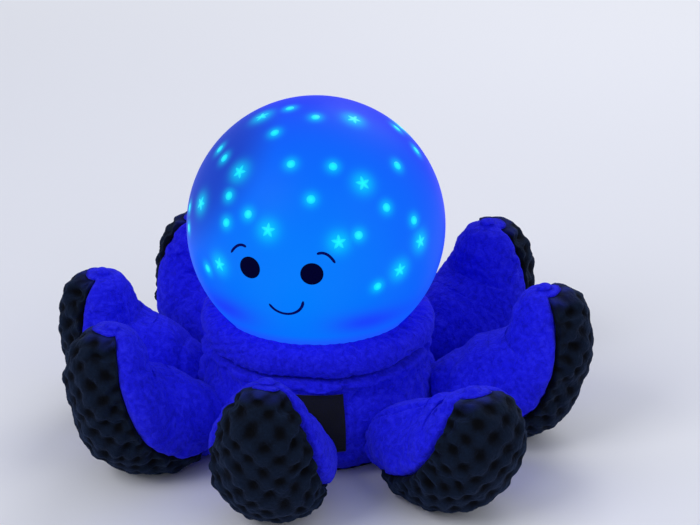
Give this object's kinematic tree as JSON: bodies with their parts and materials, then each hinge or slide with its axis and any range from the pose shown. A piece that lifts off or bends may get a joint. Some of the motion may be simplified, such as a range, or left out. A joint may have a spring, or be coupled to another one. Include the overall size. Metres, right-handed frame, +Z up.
{
  "type": "plush night light",
  "caption": "Octopus plush night light: a glowing globe with a printed face in a stuffed body with upturned tentacles.",
  "frame": {"origin": "on the floor, under the centre of the globe", "axes": "+Z up, the face looks along -Y, +X to the right of someone facing it"},
  "size_m": [0.2707, 0.2585, 0.177],
  "materials": {
    "plush_blue": "short pile plush",
    "dotted_teal": "plush with raised dots",
    "label_cloth": "woven",
    "globe_blue": "satin",
    "window_glow": "satin",
    "face_ink": "printed",
    "pod_blue": "satin",
    "button_pale": "matte",
    "board_green": "satin",
    "lamp_clear": "clear",
    "housing_white": "satin",
    "steel": "brushed",
    "dark_plastic": "satin",
    "cell_sleeve": "gloss",
    "foot_rubber": "matte"
  },
  "bodies": {
    "plush": {"plush_body": "plush_blue", "base_panel": "dotted_teal", "collar_roll": "plush_blue", "side_label": "label_cloth"},
    "light_unit": {"globe_shell": "globe_blue", "glow_dome": "window_glow", "eye_right": "face_ink", "eye_left": "face_ink", "brow_right": "face_ink", "brow_left": "face_ink", "mouth": "face_ink", "control_bezel": "pod_blue", "button_board": "board_green", "light_tower": "housing_white", "lamp_board": "board_green", "projector_lamp": "lamp_clear", "chassis_deck": "housing_white", "housing_cup": "housing_white", "base_plate": "housing_white", "main_board": "board_green", "speaker_basket": "steel", "speaker_cone": "dark_plastic", "speaker_magnet": "steel", "battery_cell_1": "cell_sleeve", "battery_cell_2": "cell_sleeve", "battery_cell_3": "cell_sleeve", "contact_plate_left": "steel", "contact_plate_right": "steel", "switch_body": "dark_plastic", "housing_screw_1": "steel", "housing_screw_2": "steel", "housing_screw_3": "steel", "housing_screw_4": "steel", "rubber_foot_1": "foot_rubber", "rubber_foot_2": "foot_rubber", "rubber_foot_3": "foot_rubber", "rubber_foot_4": "foot_rubber"},
    "battery_door": {"battery_door": "housing_white", "door_screw": "steel"},
    "switch_knob": {"switch_knob": "dark_plastic"},
    "button_power": {"button_power": "button_pale"},
    "button_light": {"button_light": "button_pale"},
    "button_sound": {"button_sound": "button_pale"},
    "button_volume": {"button_volume": "button_pale"},
    "tentacle_1": {"tentacle_1": "plush_blue", "tentacle_1_sole": "dotted_teal"},
    "tentacle_2": {"tentacle_2": "plush_blue", "tentacle_2_sole": "dotted_teal"},
    "tentacle_3": {"tentacle_3": "plush_blue", "tentacle_3_sole": "dotted_teal"},
    "tentacle_4": {"tentacle_4": "plush_blue", "tentacle_4_sole": "dotted_teal"},
    "tentacle_5": {"tentacle_5": "plush_blue", "tentacle_5_sole": "dotted_teal"},
    "tentacle_6": {"tentacle_6": "plush_blue", "tentacle_6_sole": "dotted_teal"},
    "tentacle_7": {"tentacle_7": "plush_blue", "tentacle_7_sole": "dotted_teal"},
    "tentacle_8": {"tentacle_8": "plush_blue", "tentacle_8_sole": "dotted_teal"}
  },
  "joints": [
    {"name": "unit_lift", "type": "slide", "parent": "plush", "child": "light_unit", "axis": [0, 0, 1], "range_m": [0, 0.08]},
    {"name": "battery_door_hinge", "type": "hinge", "parent": "light_unit", "child": "battery_door", "pos_m": [-0.029, 0, 0.0036], "axis": [0, 1, 0], "range_deg": [0, 90]},
    {"name": "power_switch", "type": "slide", "parent": "light_unit", "child": "switch_knob", "axis": [1, 0, 0], "range_m": [0, 0.004]},
    {"name": "button_power_press", "type": "slide", "parent": "light_unit", "child": "button_power", "axis": [-0.3284, -0.9353, 0.1315], "range_m": [0, 0.001], "stiffness_N_per_m": 400},
    {"name": "button_light_press", "type": "slide", "parent": "light_unit", "child": "button_light", "axis": [-0.1113, -0.9841, 0.1383], "range_m": [0, 0.001], "stiffness_N_per_m": 400},
    {"name": "button_sound_press", "type": "slide", "parent": "light_unit", "child": "button_sound", "axis": [0.1113, -0.9841, 0.1383], "range_m": [0, 0.001], "stiffness_N_per_m": 400},
    {"name": "button_volume_press", "type": "slide", "parent": "light_unit", "child": "button_volume", "axis": [0.3284, -0.9353, 0.1315], "range_m": [0, 0.001], "stiffness_N_per_m": 400},
    {"name": "tentacle_1_bend", "type": "hinge", "parent": "plush", "child": "tentacle_1", "pos_m": [0.00327, -0.06241, 0.036], "axis": [-0.9986, -0.0523, 0], "range_deg": [0, 25], "stiffness_Nm_per_rad": 0.15},
    {"name": "tentacle_2_bend", "type": "hinge", "parent": "plush", "child": "tentacle_2", "pos_m": [0.04992, -0.03761, 0.036], "axis": [-0.6018, -0.7986, 0], "range_deg": [0, 25], "stiffness_Nm_per_rad": 0.15},
    {"name": "tentacle_3_bend", "type": "hinge", "parent": "plush", "child": "tentacle_3", "pos_m": [0.06203, 0.00762, 0.036], "axis": [0.1219, -0.9925, 0], "range_deg": [0, 25], "stiffness_Nm_per_rad": 0.15},
    {"name": "tentacle_4_bend", "type": "hinge", "parent": "plush", "child": "tentacle_4", "pos_m": [0.03933, 0.04857, 0.036], "axis": [0.7771, -0.6293, 0], "range_deg": [0, 25], "stiffness_Nm_per_rad": 0.15},
    {"name": "tentacle_5_bend", "type": "hinge", "parent": "plush", "child": "tentacle_5", "pos_m": [-0.00653, 0.06216, 0.036], "axis": [0.9945, 0.1045, 0], "range_deg": [0, 25], "stiffness_Nm_per_rad": 0.15},
    {"name": "tentacle_6_bend", "type": "hinge", "parent": "plush", "child": "tentacle_6", "pos_m": [-0.04925, 0.03848, 0.036], "axis": [0.6157, 0.788, 0], "range_deg": [0, 25], "stiffness_Nm_per_rad": 0.15},
    {"name": "tentacle_7_bend", "type": "hinge", "parent": "plush", "child": "tentacle_7", "pos_m": [-0.06203, -0.00762, 0.036], "axis": [-0.1219, 0.9925, 0], "range_deg": [0, 25], "stiffness_Nm_per_rad": 0.15},
    {"name": "tentacle_8_bend", "type": "hinge", "parent": "plush", "child": "tentacle_8", "pos_m": [-0.04496, -0.04342, 0.036], "axis": [-0.6947, 0.7193, 0], "range_deg": [0, 25], "stiffness_Nm_per_rad": 0.15}
  ]
}
